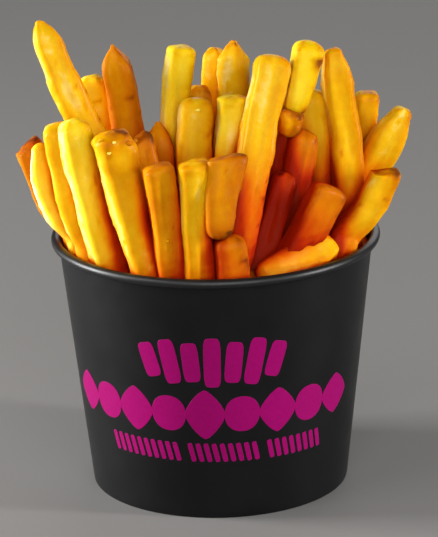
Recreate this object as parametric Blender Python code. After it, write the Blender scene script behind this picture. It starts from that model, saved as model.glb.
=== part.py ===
"""French fries standing upright in a round paper food cup.

Sizes here are millimetres and the meshes are written in metres. The cup's axis is the Z axis,
the table it stands on is z = 0, and the side that is usually shown faces -Y.
"""

import math

import bmesh
import bpy
import numpy as np

MM = 0.001

# Cup: outside sizes of a 12 oz paper food cup.
RIM_HEIGHT = 77.0
RIM_RADIUS = 49.0
BEAD = 2.8
WALL_TOP_RADIUS = 47.0
FOOT_RADIUS = 38.4
PAPER = 0.5
CUP_SEGMENTS = 64
BEAD_POINTS = 8
BEAD_NECK = 0.4
BEAD_START = math.radians(-125.0)
BEAD_END = math.radians(170.0)

# Side seam: the lapped strip down the back of the cup, one sheet thick.
SEAM_ANGLE = math.radians(101.0)
SEAM_HALF_WIDTH = 4.2
SEAM_RELIEF = 0.35

# Base disc: set up into the cup, its skirt held in the wall's folded foot.
BASE_HEIGHT = 6.5
FOLD_HEIGHT = 5.4
GAP = 0.3

# Heap: a low core inside the cup that every fry grows out of.
CORE_GAP = 0.7
CORE_EDGE_HEIGHT = 73.5
CORE_MOUND = 6.0
MOUND_SHOULDER = (0.55, 0.8)
CORE_SEGMENTS = 32
FOOT_DEPTH = 20.0
WALL_CLEARANCE = 0.5
DRAW_FADE = 9.0

# Fries: the section's cut corners, the rings along the length, how much the size varies, how
# far the section reaches from the middle line, and the size of an end that shows low down.
CORNER_CUT = 0.22
STATIONS = 5
UNEVEN = 0.05
REACH_SHARE = 0.56
LOW_END_SHARE = 0.75

# End shapes: length in mm, share of the section left at the tip, and slope of the cut.
ENDS = {
    "cut": (2.5, 0.84, 0.10),
    "round": (4.5, 0.60, 0.0),
    "slant": (3.0, 0.80, 0.55),
    "point": (8.5, 0.36, -0.25),
    "wedge": (8.0, 0.22, 0.0),
    "nib": (12.0, 0.60, 0.10),
    "bulb": (4.0, 0.58, 0.0),
    "chunk": (3.0, 0.80, 0.45),
    "knot": (4.0, 0.70, 0.0),
}

# Ends whose fry grows thicker towards them: the section's size at the low end and at the tip.
GROWTH = {"bulb": (0.82, 1.2), "chunk": (0.70, 1.15), "knot": (0.88, 1.3)}

# The fries that show, from left to right: where the middle crosses the rim's height, or the
# lower end of a piece that ends above it, then the tip, the section's two sides, its turn in
# degrees, the bow to the right halfway up, and the end's shape.
RIM = RIM_HEIGHT
SHOWN = [
    ((-45.2, -4.0, 78.5), (-54.8, -1.0, 105.6), 7.6, 7.4, 10, -0.5, "slant"),
    ((-40.8, -11.4, RIM), (-51.0, -6.5, 107.0), 8.8, 8.0, 15, -2.0, "nib"),
    ((-36.8, -18.8, RIM), (-45.4, -15.0, 115.5), 9.6, 8.6, 10, -1.2, "round"),
    ((-15.5, -16.0, RIM), (-49.9, -8.0, 144.3), 8.2, 8.0, 15, -3.2, "point"),
    ((-31.6, -24.0, RIM), (-40.3, -25.0, 119.0), 9.0, 8.4, 25, -0.6, "round"),
    ((-27.0, 5.0, RIM), (-36.0, 4.0, 124.0), 8.4, 7.8, 0, 0.0, "round"),
    ((-20.5, -4.0, RIM), (-28.7, -3.0, 135.3), 8.8, 7.8, -10, 0.0, "wedge"),
    ((-20.5, -34.2, RIM), (-28.6, -30.0, 117.0), 9.0, 8.6, 20, -1.0, "knot"),
    ((-16.0, -27.0, RIM), (-22.3, -23.0, 112.8), 8.8, 8.0, 15, 0.0, "slant"),
    ((-12.9, -37.6, RIM), (-16.2, -38.8, 109.0), 8.6, 7.8, 15, 0.0, "cut"),
    ((-15.5, -17.0, RIM), (-16.4, -12.0, 114.2), 8.6, 7.4, 15, 0.0, "wedge"),
    ((-10.0, -8.0, RIM), (-8.8, -5.0, 135.0), 7.6, 7.6, 20, -2.5, "cut"),
    ((-5.0, -39.2, RIM), (-6.0, -40.4, 110.2), 9.2, 8.2, 15, 0.0, "cut"),
    ((-6.0, -22.0, RIM), (-5.4, -13.0, 121.5), 10.2, 9.0, 15, 0.0, "round"),
    ((-5.0, 3.0, RIM), (-4.0, 2.0, 121.0), 7.0, 7.0, 0, 0.0, "round"),
    ((-1.0, 13.0, RIM), (1.0, 11.0, 130.0), 6.6, 7.0, -10, 0.0, "round"),
    ((1.2, -43.5, 87.6), (4.0, -38.0, 111.0), 10.6, 8.8, 12, -0.8, "chunk"),
    ((4.6, -40.4, RIM), (4.0, -40.4, 88.0), 9.4, 8.0, 12, 0.0, "round"),
    ((4.0, 2.0, RIM), (6.8, 3.0, 134.2), 9.0, 8.0, -10, 0.0, "wedge"),
    ((2.0, -18.0, RIM), (6.0, -13.5, 122.0), 8.6, 7.8, 15, 0.0, "cut"),
    ((5.2, -30.5, RIM), (18.2, -14.0, 134.0), 9.8, 9.2, 15, 0.0, "round"),
    ((23.0, -13.4, 116.0), (28.3, -10.0, 137.2), 8.0, 7.8, 10, 0.8, "bulb"),
    ((20.5, -16.0, RIM), (26.6, -11.0, 110.5), 9.0, 8.4, 10, 0.0, "round"),
    ((16.0, -12.0, RIM), (20.0, -7.0, 112.5), 8.6, 8.2, 15, 0.0, "round"),
    ((13.6, -25.0, RIM), (20.6, -19.0, 100.0), 7.6, 7.4, 10, 0.0, "round"),
    ((30.0, -2.0, RIM), (28.9, -2.0, 120.0), 10.4, 8.4, 10, 0.0, "round"),
    ((38.4, -7.0, RIM), (34.8, -6.0, 133.4), 8.6, 8.2, 15, 2.0, "nib"),
    ((40.0, 7.0, RIM), (46.0, 6.0, 117.0), 6.8, 7.0, 0, 0.0, "cut"),
    ((36.5, 0.0, RIM), (56.6, -3.0, 114.0), 10.2, 8.6, 5, 0.0, "nib"),
    ((37.2, -18.2, RIM), (50.5, -15.0, 99.0), 8.6, 8.2, 10, 0.8, "slant"),
    ((22.6, -27.6, RIM), (34.0, -24.0, 97.0), 9.8, 8.6, 20, 0.0, "cut"),
    ((12.0, -34.0, 71.0), (35.0, -24.5, 80.4), 10.4, 9.0, 15, 0.0, "round"),
    ((-43.2, -7.0, RIM), (-49.5, -6.0, 99.0), 5.8, 5.8, 20, -0.6, "round"),
    ((21.0, -15.5, 109.6), (23.4, -13.6, 117.6), 7.0, 7.0, 20, 0.0, "knot"),
]

# The fries behind and between them follow a rule: one at each free place of a loose grid.
GRID_PITCH = 8.7
GRID_JITTER = 1.4
GRID_RADIUS = 40.0
FREE_DISTANCE = 6.4
SIGHT_SLOPE = math.tan(math.radians(18.0))
SIGHT_MARGIN = 3.0
SHORTEST_TIP = 81.0
TIP_HEIGHTS = (96.0, 128.0)
HEIGHT_STEP = 3.0
LEAN_AT_RIM = (0.10, 0.30)
SWAY = 0.10
WIDTHS = (6.2, 8.2)
THICKNESS_SHARE = (0.88, 1.08)
PLAIN_ENDS = ("cut", "slant", "round", "point", "nib")
SEED = 11

COLORS = {
    "cup_paper": (0.028, 0.028, 0.031, 1.0),
    "fried_potato": (0.83, 0.47, 0.045, 1.0),
}


def clear_scene():
    """Remove every object so that the script can be run again."""
    for item in list(bpy.data.objects):
        bpy.data.objects.remove(item, do_unlink=True)


def make_material(name, roughness):
    """Return a Principled material with the named colour."""
    material = bpy.data.materials.new(name)
    material.use_nodes = True
    shader = material.node_tree.nodes["Principled BSDF"]
    shader.inputs["Base Color"].default_value = COLORS[name]
    shader.inputs["Roughness"].default_value = roughness
    shader.inputs["Metallic"].default_value = 0.0
    return material


def add_object(name, points, faces, material):
    """Make a named object from points in millimetres and a list of faces."""
    mesh = bpy.data.meshes.new(name)
    mesh.from_pydata((np.asarray(points) * MM).tolist(), [], faces)
    mesh.materials.append(material)
    mesh.shade_smooth()
    mesh.set_sharp_from_angle(angle=math.radians(40.0))
    item = bpy.data.objects.new(name, mesh)
    bpy.context.scene.collection.objects.link(item)
    return item


def wall_radius(height):
    """Outer radius of the tapered wall at a height."""
    return FOOT_RADIUS + (WALL_TOP_RADIUS - FOOT_RADIUS) * height / RIM_HEIGHT


def inner_radius(height):
    """Radius of the space inside the wall at a height."""
    return wall_radius(height) - PAPER


def turned_ring(profile, segments, seam=False):
    """Turn a closed profile of (radius, height) points round the Z axis into a ring.

    The profile runs anticlockwise with the radius to the right, so its faces point out.
    """
    profile = np.array(profile)
    angles = np.arange(segments) * 2.0 * math.pi / segments
    radius = np.repeat(profile[None, :, 0], segments, axis=0)
    if seam:
        away = np.abs(np.angle(np.exp(1j * (angles - SEAM_ANGLE))))
        outside = profile[:, 0] >= wall_radius(profile[:, 1]) - 0.01
        lapped = (away * WALL_TOP_RADIUS < SEAM_HALF_WIDTH)[:, None] & outside[None, :]
        radius = radius + SEAM_RELIEF * lapped
    x = radius * np.cos(angles)[:, None]
    y = radius * np.sin(angles)[:, None]
    z = np.repeat(profile[None, :, 1], segments, axis=0)
    points = np.stack([x, y, z], axis=2).reshape(-1, 3)
    count = len(profile)
    faces = []
    for i in range(segments):
        here, there = i * count, (i + 1) % segments * count
        for j in range(count):
            k = (j + 1) % count
            faces.append((here + j, there + j, there + k, here + k))
    return points, faces


def cup_wall(material):
    """The side wall with its rolled rim, its lapped seam and its folded foot."""
    bead_radius = BEAD / 2.0
    bead_centre = (RIM_RADIUS - bead_radius, RIM_HEIGHT - bead_radius)
    roll = [
        (bead_centre[0] + bead_radius * math.cos(a), bead_centre[1] + bead_radius * math.sin(a))
        for a in np.linspace(BEAD_START, BEAD_END, BEAD_POINTS)
    ]
    under_bead = RIM_HEIGHT - BEAD - BEAD_NECK
    fold_outer = inner_radius(0.0) - PAPER - 2.0 * GAP
    profile = [(FOOT_RADIUS, 0.0), (wall_radius(RIM_HEIGHT / 2.0), RIM_HEIGHT / 2.0)]
    profile += [(wall_radius(under_bead), under_bead)]
    profile += roll
    profile += [
        (inner_radius(under_bead), under_bead),
        (inner_radius(BASE_HEIGHT), BASE_HEIGHT),
        (inner_radius(PAPER), PAPER),
        (fold_outer, PAPER),
        (fold_outer + (inner_radius(FOLD_HEIGHT) - inner_radius(0.0)), FOLD_HEIGHT),
        (fold_outer - PAPER + (inner_radius(FOLD_HEIGHT) - inner_radius(0.0)), FOLD_HEIGHT),
        (fold_outer - PAPER, 0.0),
    ]
    points, faces = turned_ring(profile, CUP_SEGMENTS, seam=True)
    return add_object("cup_wall", points, faces, material)


def turned_disc(profile, segments):
    """Turn an open profile that starts and ends on the Z axis into a closed body.

    The profile runs from the lower pole outwards and back to the upper pole.
    """
    lower, upper = profile[0][1], profile[-1][1]
    rim = np.array(profile[1:-1])
    angles = np.arange(segments) * 2.0 * math.pi / segments
    x = rim[None, :, 0] * np.cos(angles)[:, None]
    y = rim[None, :, 0] * np.sin(angles)[:, None]
    z = np.repeat(rim[None, :, 1], segments, axis=0)
    points = np.stack([x, y, z], axis=2).reshape(-1, 3)
    points = np.vstack([points, [(0.0, 0.0, lower), (0.0, 0.0, upper)]])
    count, bottom, top = len(rim), len(points) - 2, len(points) - 1
    faces = []
    for i in range(segments):
        here, there = i * count, (i + 1) % segments * count
        faces.append((bottom, there, here))
        faces.append((here + count - 1, there + count - 1, top))
        for j in range(count - 1):
            faces.append((here + j, there + j, there + j + 1, here + j + 1))
    return points, faces


def cup_base(material):
    """The base disc with its turned-down skirt."""
    skirt_low = PAPER + GAP
    skirt_outer = inner_radius(skirt_low) - GAP
    top_outer = inner_radius(BASE_HEIGHT) - GAP
    profile = [
        (0.0, BASE_HEIGHT - PAPER),
        (top_outer - PAPER, BASE_HEIGHT - PAPER),
        (skirt_outer - PAPER, skirt_low),
        (skirt_outer, skirt_low),
        (top_outer, BASE_HEIGHT),
        (0.0, BASE_HEIGHT),
    ]
    points, faces = turned_disc(profile, CUP_SEGMENTS)
    return add_object("cup_base", points, faces, material)


def heap_core(material):
    """The plug of packed fries inside the cup, with a low mound in the middle."""
    floor = BASE_HEIGHT + CORE_GAP
    edge = inner_radius(CORE_EDGE_HEIGHT) - CORE_GAP
    profile = [
        (0.0, floor),
        (inner_radius(floor) - CORE_GAP, floor),
        (edge, CORE_EDGE_HEIGHT),
        (edge * MOUND_SHOULDER[0], CORE_EDGE_HEIGHT + CORE_MOUND * MOUND_SHOULDER[1]),
        (0.0, CORE_EDGE_HEIGHT + CORE_MOUND),
    ]
    points, faces = turned_disc(profile, CORE_SEGMENTS)
    return add_object("fries", points, faces, material)


def fry_middle(low, tip, bow, share):
    """Points of a fry's middle line: straight from low to tip, bowed to the right."""
    low, tip = np.array(low), np.array(tip)
    share = np.asarray(share)[:, None]
    middle = low + (tip - low) * share
    middle[:, 0] += bow * (4.0 * share * (1.0 - share))[:, 0] * (share[:, 0] > 0.0)
    return middle


def keep_inside(middle, reach):
    """Draw the stations that lie below the rim in from the cup's wall. The draw fades out
    over the first millimetres above the rim, as the smooth step 3t² - 2t³."""
    distance = np.hypot(middle[:, 0], middle[:, 1])
    height = np.minimum(middle[:, 2], RIM_HEIGHT)
    limit = inner_radius(height) - WALL_CLEARANCE - reach
    t = np.clip((middle[:, 2] - RIM_HEIGHT) / DRAW_FADE, 0.0, 1.0)
    held = 1.0 - t * t * (3.0 - 2.0 * t)
    scale = 1.0 - held * (1.0 - np.minimum(1.0, limit / np.maximum(distance, 1e-6)))
    return middle * np.stack([scale, scale, np.ones_like(scale)], axis=1)


def section_axes(middle, turn):
    """Directions of the section's width and thickness at each station."""
    along = np.gradient(middle, axis=0)
    along /= np.linalg.norm(along, axis=1, keepdims=True)
    right = np.array([1.0, 0.0, 0.0]) - along * along[:, :1]
    right /= np.linalg.norm(right, axis=1, keepdims=True)
    back = np.cross(along, right)
    angle = math.radians(turn)
    wide = right * math.cos(angle) + back * math.sin(angle)
    deep = back * math.cos(angle) - right * math.sin(angle)
    return along, wide, deep


def fry_stations(low, tip, end):
    """Shares of the length that get a ring: foot, body, shoulder and tip."""
    length = math.dist(low, tip)
    shoulder = 1.0 - min(ENDS[end][0], 0.45 * length) / length
    foot = -FOOT_DEPTH / (tip[2] - low[2]) if low[2] == RIM_HEIGHT else 0.0
    body = np.linspace(0.0, shoulder, STATIONS - 1)
    if foot == 0.0:
        body = body[1:]
    return np.concatenate([[foot], body, [1.0]])


def fry_points(row, rng):
    """Rings of eight points along one fry, as an array of stations by points by 3."""
    low, tip, width, thickness, turn, bow, end = row
    share = fry_stations(low, tip, end)
    middle = keep_inside(fry_middle(low, tip, bow, share), REACH_SHARE * max(width, thickness))
    along, wide, deep = section_axes(middle, turn)
    size = 1.0 + rng.uniform(-UNEVEN, UNEVEN, len(share))
    size[-1] *= ENDS[end][1]
    if low[2] != RIM_HEIGHT:
        size[0] *= LOW_END_SHARE
    if end in GROWTH:
        size *= np.interp(share, [0.0, 1.0], GROWTH[end])
    c = CORNER_CUT
    corner = np.array([
        (-0.5, c - 0.5), (c - 0.5, -0.5), (0.5 - c, -0.5), (0.5, c - 0.5),
        (0.5, 0.5 - c), (0.5 - c, 0.5), (c - 0.5, 0.5), (-0.5, 0.5 - c),
    ])
    across = corner[:, 0] * width
    through = corner[:, 1] * thickness
    points = middle[:, None, :] + size[:, None, None] * (
        across[None, :, None] * wide[:, None, :] + through[None, :, None] * deep[:, None, :]
    )
    points[-1] += (ENDS[end][2] * across)[:, None] * along[-1]
    return points


def add_fry(name, row, rng, material):
    """One fry as a closed body."""
    points = fry_points(row, rng)
    stations, sides = points.shape[:2]
    faces = [tuple(range(sides))[::-1], tuple((stations - 1) * sides + i for i in range(sides))]
    for i in range(stations - 1):
        for j in range(sides):
            k = (j + 1) % sides
            here, above = i * sides, (i + 1) * sides
            faces.append((here + j, here + k, above + k, above + j))
    return add_object(name, points.reshape(-1, 3), faces, material)


def sight_cover():
    """How near the shown fries stand, along each line of sight.

    Returns the grid's x values, its sight heights (height plus depth times the slope of the
    line of sight) and the depth of the nearest shown fry there, infinite where there is none.
    """
    xs = np.arange(-60.0, 61.0, 1.0)
    heights = np.arange(60.0, 150.0, 1.0)
    grid = np.stack(np.meshgrid(xs, heights, indexing="ij"), axis=2)
    nearest = np.full(grid.shape[:2], np.inf)
    for low, tip, width, thickness, _turn, bow, end in SHOWN:
        shoulder = 1.0 - 0.5 * ENDS[end][0] / math.dist(low, tip)
        middle = fry_middle(low, tip, bow, np.linspace(0.0, shoulder, 24))
        seen = np.stack([middle[:, 0], middle[:, 2] + middle[:, 1] * SIGHT_SLOPE], axis=1)
        away = np.linalg.norm(grid[:, :, None, :] - seen[None, None], axis=3)
        depth = middle[:, 1][away.argmin(axis=2)]
        covers = away.min(axis=2) < 0.5 * max(width, thickness)
        nearest = np.where(covers, np.minimum(nearest, depth), nearest)
    return xs, heights, nearest


def hidden(low, tip, width, cover):
    """True if a fry stays behind the shown ones or in the cup, seen from the shown side."""
    xs, heights, nearest = cover
    middle = fry_middle(low, tip, 0.0, np.linspace(0.0, 1.0, 14))
    seen = middle[:, 2] + middle[:, 1] * SIGHT_SLOPE + SIGHT_MARGIN
    in_cup = middle[:, 2] < SHORTEST_TIP
    j = np.clip(np.rint(seen - heights[0]), 0, len(heights) - 1).astype(int)
    for side in (-0.6, 0.0, 0.6):
        i = np.clip(np.rint(middle[:, 0] + side * width - xs[0]), 0, len(xs) - 1).astype(int)
        behind = middle[:, 1] > nearest[i, j] + 0.5 * width
        if not (behind | in_cup).all():
            return False
    return True


def free_places(rng):
    """Places in the rim's plane, on a loose grid, that no shown fry has taken."""
    taken = [np.array(row[0][:2]) for row in SHOWN]
    places = []
    rows = int(GRID_RADIUS / GRID_PITCH) + 2
    for j in range(-rows, rows + 1):
        for i in range(-rows, rows + 1):
            place = np.array([(i + 0.5 * (j % 2)) * GRID_PITCH, j * GRID_PITCH * 0.87])
            place += rng.uniform(-GRID_JITTER, GRID_JITTER, 2)
            distance = float(np.hypot(*place))
            if distance > GRID_RADIUS + 2.0:
                continue
            place *= min(1.0, GRID_RADIUS / max(distance, 1e-6))
            if all(np.linalg.norm(place - other) > FREE_DISTANCE for other in taken):
                taken.append(place)
                places.append(place)
    return places


def hidden_fries(rng):
    """Rows for the fries behind and between the shown ones, as tall as stays hidden. One
    that no height hides is left out."""
    cover = sight_cover()
    rows = []
    for place in free_places(rng):
        low = (float(place[0]), float(place[1]), RIM_HEIGHT)
        lean = rng.uniform(*LEAN_AT_RIM)
        sway = rng.uniform(-SWAY, SWAY, 2)
        width = rng.uniform(*WIDTHS)
        thickness = width * rng.uniform(*THICKNESS_SHARE)
        turn = float(rng.uniform(0.0, 60.0))
        end = PLAIN_ENDS[rng.integers(len(PLAIN_ENDS))]
        height = rng.uniform(*TIP_HEIGHTS)
        while height > SHORTEST_TIP:
            rise = height - RIM_HEIGHT
            tip_xy = place * (1.0 + lean * rise / GRID_RADIUS) + sway * rise
            tip = (float(tip_xy[0]), float(tip_xy[1]), float(height))
            if hidden(low, tip, width, cover):
                break
            height -= HEIGHT_STEP
        else:
            continue
        rows.append((low, tip, width, thickness, turn, 0.0, end))
    return rows


def keep_outer_shell(mesh):
    """Keep the largest closed shell, which fills sealed hollows and drops loose scraps."""
    shape = bmesh.new()
    shape.from_mesh(mesh)
    bmesh.ops.triangulate(shape, faces=shape.faces)
    shape.faces.ensure_lookup_table()
    shells, seen = [], set()
    for start in shape.faces:
        if start in seen:
            continue
        seen.add(start)
        shell, front = [], [start]
        while front:
            face = front.pop()
            shell.append(face)
            for edge in face.edges:
                for other in edge.link_faces:
                    if other not in seen:
                        seen.add(other)
                        front.append(other)
        shells.append(shell)
    shells.sort(key=len, reverse=True)
    scraps = [vert for shell in shells[1:] for face in shell for vert in face.verts]
    bmesh.ops.delete(shape, geom=list(set(scraps)), context="VERTS")
    shape.to_mesh(mesh)
    shape.free()


def fries(material):
    """The heap: the core and every fry, joined into one body."""
    rng = np.random.default_rng(SEED)
    core = heap_core(material)
    group = bpy.data.collections.new("fries_to_join")
    bpy.context.scene.collection.children.link(group)
    for number, row in enumerate(SHOWN + hidden_fries(rng)):
        piece = add_fry("fry_%02d" % number, row, rng, material)
        bpy.context.scene.collection.objects.unlink(piece)
        group.objects.link(piece)
    union = core.modifiers.new("union", "BOOLEAN")
    union.operation = "UNION"
    union.operand_type = "COLLECTION"
    union.collection = group
    union.solver = "EXACT"
    graph = bpy.context.evaluated_depsgraph_get()
    joined = bpy.data.meshes.new_from_object(core.evaluated_get(graph))
    core.modifiers.clear()
    core.data = joined
    joined.name = "fries"
    for piece in list(group.objects):
        bpy.data.objects.remove(piece, do_unlink=True)
    bpy.data.collections.remove(group)
    keep_outer_shell(joined)
    joined.shade_smooth()
    joined.set_sharp_from_angle(angle=math.radians(40.0))
    return core


def main():
    clear_scene()
    paper = make_material("cup_paper", 0.55)
    potato = make_material("fried_potato", 0.5)
    cup_wall(paper)
    cup_base(paper)
    fries(potato)


if __name__ == "__main__":
    main()
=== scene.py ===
"""French fries standing upright in a round black paper cup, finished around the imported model.

Run as a script, it dresses the model's nodes and builds the stage. Lengths in the functions
below are millimetres, and new_piece() turns them into metres. The shown side faces -Y.
"""

import math

import bpy
import numpy as np
from bpy.props import FloatProperty, FloatVectorProperty, IntProperty, PointerProperty
from bpy.types import Operator, Panel, PropertyGroup
from mathutils import Matrix, Vector


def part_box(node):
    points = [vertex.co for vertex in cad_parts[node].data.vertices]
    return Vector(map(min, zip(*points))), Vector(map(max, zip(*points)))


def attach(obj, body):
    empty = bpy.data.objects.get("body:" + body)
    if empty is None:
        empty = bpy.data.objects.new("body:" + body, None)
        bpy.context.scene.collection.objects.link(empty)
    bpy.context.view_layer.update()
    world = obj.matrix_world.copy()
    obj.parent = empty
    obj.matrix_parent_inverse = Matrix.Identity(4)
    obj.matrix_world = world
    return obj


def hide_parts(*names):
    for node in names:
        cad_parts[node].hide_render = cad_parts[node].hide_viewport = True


bl_info = {
    "name": "French fries in a paper cup",
    "version": (1, 0, 0),
    "blender": (4, 5, 0),
    "location": "View3D > Sidebar > Fries",
    "description": "Builds the paper cup, its print and the fries around the packed model",
    "category": "Object",
}

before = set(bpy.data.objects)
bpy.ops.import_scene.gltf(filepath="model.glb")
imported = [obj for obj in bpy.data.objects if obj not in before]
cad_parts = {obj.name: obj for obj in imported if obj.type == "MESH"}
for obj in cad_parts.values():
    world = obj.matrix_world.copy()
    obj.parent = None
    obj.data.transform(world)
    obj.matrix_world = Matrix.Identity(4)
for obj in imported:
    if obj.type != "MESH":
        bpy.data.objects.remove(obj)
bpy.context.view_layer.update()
BODY = "root"
MM = 0.001

# Cup: heights and radii in millimetres, the outer ones read from the model.
RIM_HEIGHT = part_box("cup_wall")[1].z / MM
RIM_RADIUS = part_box("cup_wall")[1].x / MM
WALL_TOP_RADIUS = 47.0
FOOT_RADIUS = 38.4
BEAD = 2.8
BEAD_NECK = 0.4
BEAD_START = math.radians(-125.0)
BEAD_END = math.radians(170.0)
FOOT_ROUND = 0.35
PAPER = 0.5
BASE_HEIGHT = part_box("cup_base")[1].z / MM
FOLD_HEIGHT = 5.4
GAP = 0.3
SEAM_ANGLE = math.radians(101.0)
SEAM_HALF_WIDTH = 4.2
SEAM_RELIEF = 0.35
SEAM_STEP = 0.0012
SEAM_CLEAR = 0.008

# Heap: the core and the rule for the fries, as in the model.
CORE_GAP = 0.7
CORE_EDGE_HEIGHT = 73.5
CORE_MOUND = 6.0
CORE_BUMP = 1.4
FOOT_DEPTH = 20.0
WALL_CLEARANCE = 0.5
DRAW_FADE = 9.0
STATIONS = 5
UNEVEN = 0.05
REACH_SHARE = 0.56
LOW_END_SHARE = 0.75

# End shapes: length in mm, share of the section left at the tip, slope of the cut, and the
# power of the curve that end_profile() gives it. Those in GROWTH also change along the fry,
# from the first share of the section to the second.
ENDS = {
    "cut": (2.5, 0.84, 0.10, 3.2),
    "round": (4.5, 0.60, 0.0, 2.4),
    "slant": (3.0, 0.80, 0.55, 3.0),
    "point": (8.5, 0.36, -0.25, 2.0),
    "wedge": (8.0, 0.22, 0.0, 2.0),
    "nib": (12.0, 0.60, 0.10, 2.4),
    "bulb": (4.0, 0.58, 0.0, 2.1),
    "chunk": (3.0, 0.80, 0.45, 3.0),
    "knot": (4.0, 0.70, 0.0, 2.4),
}
END_LIMIT = 0.45
GROWTH = {"bulb": (0.82, 1.2), "chunk": (0.70, 1.15), "knot": (0.88, 1.3)}

# The fries that show: where the middle crosses the rim's height, or the lower end of a piece
# that ends above it, then the tip, the section's two sides, its turn in degrees, the bow to
# the right halfway up, the end's shape, and the kind it is fried to. They run roughly from
# left to right, with a thin one at the left rim and a lump high on the right at the end.
RIM = RIM_HEIGHT
SHOWN = [
    ((-45.2, -4.0, 78.5), (-54.8, -1.0, 105.6), 7.6, 7.4, 10, -0.5, "slant", "browned"),
    ((-40.8, -11.4, RIM), (-51.0, -6.5, 107.0), 8.8, 8.0, 15, -2.0, "nib", "pale"),
    ((-36.8, -18.8, RIM), (-45.4, -15.0, 115.5), 9.6, 8.6, 10, -1.2, "round", "golden"),
    ((-15.5, -16.0, RIM), (-49.9, -8.0, 144.3), 8.2, 8.0, 15, -3.2, "point", "golden"),
    ((-31.6, -24.0, RIM), (-40.3, -25.0, 119.0), 9.0, 8.4, 25, -0.6, "round", "pale"),
    ((-27.0, 5.0, RIM), (-36.0, 4.0, 124.0), 8.4, 7.8, 0, 0.0, "round", "pale"),
    ((-20.5, -4.0, RIM), (-28.7, -3.0, 135.3), 8.8, 7.8, -10, 0.0, "wedge", "browned"),
    ((-20.5, -34.2, RIM), (-28.6, -30.0, 117.0), 9.0, 8.6, 20, -1.0, "knot", "golden"),
    ((-16.0, -27.0, RIM), (-22.3, -23.0, 112.8), 8.8, 8.0, 15, 0.0, "slant", "browned"),
    ((-12.9, -37.6, RIM), (-16.2, -38.8, 109.0), 8.6, 7.8, 15, 0.0, "cut", "browned"),
    ((-15.5, -17.0, RIM), (-16.4, -12.0, 114.2), 8.6, 7.4, 15, 0.0, "wedge", "browned"),
    ((-10.0, -8.0, RIM), (-8.8, -5.0, 135.0), 7.6, 7.6, 20, -2.5, "cut", "pale"),
    ((-5.0, -39.2, RIM), (-6.0, -40.4, 110.2), 9.2, 8.2, 15, 0.0, "cut", "golden"),
    ((-6.0, -22.0, RIM), (-5.4, -13.0, 121.5), 10.2, 9.0, 15, 0.0, "round", "golden"),
    ((-5.0, 3.0, RIM), (-4.0, 2.0, 121.0), 7.0, 7.0, 0, 0.0, "round", "golden"),
    ((-1.0, 13.0, RIM), (1.0, 11.0, 130.0), 6.6, 7.0, -10, 0.0, "round", "golden"),
    ((1.2, -43.5, 87.6), (4.0, -38.0, 111.0), 10.6, 8.8, 12, -0.8, "chunk", "browned"),
    ((4.6, -40.4, RIM), (4.0, -40.4, 88.0), 9.4, 8.0, 12, 0.0, "round", "browned"),
    ((4.0, 2.0, RIM), (6.8, 3.0, 134.2), 9.0, 8.0, -10, 0.0, "wedge", "golden"),
    ((2.0, -18.0, RIM), (6.0, -13.5, 122.0), 8.6, 7.8, 15, 0.0, "cut", "pale"),
    ((5.2, -30.5, RIM), (18.2, -14.0, 134.0), 9.8, 9.2, 15, 0.0, "round", "golden"),
    ((23.0, -13.4, 116.0), (28.3, -10.0, 137.2), 8.0, 7.8, 10, 0.8, "bulb", "pale"),
    ((20.5, -16.0, RIM), (26.6, -11.0, 110.5), 9.0, 8.4, 10, 0.0, "round", "browned"),
    ((16.0, -12.0, RIM), (20.0, -7.0, 112.5), 8.6, 8.2, 15, 0.0, "round", "browned"),
    ((13.6, -25.0, RIM), (20.6, -19.0, 100.0), 7.6, 7.4, 10, 0.0, "round", "browned"),
    ((30.0, -2.0, RIM), (28.9, -2.0, 120.0), 10.4, 8.4, 10, 0.0, "round", "pale"),
    ((38.4, -7.0, RIM), (34.8, -6.0, 133.4), 8.6, 8.2, 15, 2.0, "nib", "golden"),
    ((40.0, 7.0, RIM), (46.0, 6.0, 117.0), 6.8, 7.0, 0, 0.0, "cut", "golden"),
    ((36.5, 0.0, RIM), (56.6, -3.0, 114.0), 10.2, 8.6, 5, 0.0, "nib", "golden"),
    ((37.2, -18.2, RIM), (50.5, -15.0, 99.0), 8.6, 8.2, 10, 0.8, "slant", "golden"),
    ((22.6, -27.6, RIM), (34.0, -24.0, 97.0), 9.8, 8.6, 20, 0.0, "cut", "browned"),
    ((12.0, -34.0, 71.0), (35.0, -24.5, 80.4), 10.4, 9.0, 15, 0.0, "round", "pale"),
    ((-43.2, -7.0, RIM), (-49.5, -6.0, 99.0), 5.8, 5.8, 20, -0.6, "round", "pale"),
    ((21.0, -15.5, 109.6), (23.4, -13.6, 117.6), 7.0, 7.0, 20, 0.0, "knot", "golden"),
]

# The fries behind and between them follow a rule: one at each free place of a loose grid.
GRID_PITCH = 8.7
GRID_JITTER = 1.4
GRID_RADIUS = 40.0
FREE_DISTANCE = 6.4
SIGHT_SLOPE = math.tan(math.radians(18.0))
SIGHT_MARGIN = 3.0
SHORTEST_TIP = 81.0
TIP_HEIGHTS = (96.0, 128.0)
HEIGHT_STEP = 3.0
LEAN_AT_RIM = (0.10, 0.30)
SWAY = 0.10
WIDTHS = (6.2, 8.2)
THICKNESS_SHARE = (0.88, 1.08)
PLAIN_ENDS = ("cut", "slant", "round", "point", "nib")
KINDS = ("pale", "golden", "browned")
SEED = 11

# Fine surface of a fry, in millimetres. WRINKLED gives, by its number in SHOWN, the shares of
# a fry's length between which its skin is ridged.
SECTION_POWER = (3.4, 5.4)
LOW_END_LENGTH = 4.0
RING_STEP = 1.25
HIDDEN_RING_STEP = 2.2
RING_POINTS = 40
HIDDEN_RING_POINTS = 24
TWIST = 7.0
WEAVE = 0.45
WEAVE_LENGTH = 14.0
LUMP = 1.3
LUMP_LENGTH = 15.0
WRINKLED = {3: (0.28, 0.78)}
RIDGES = 0.6
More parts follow.
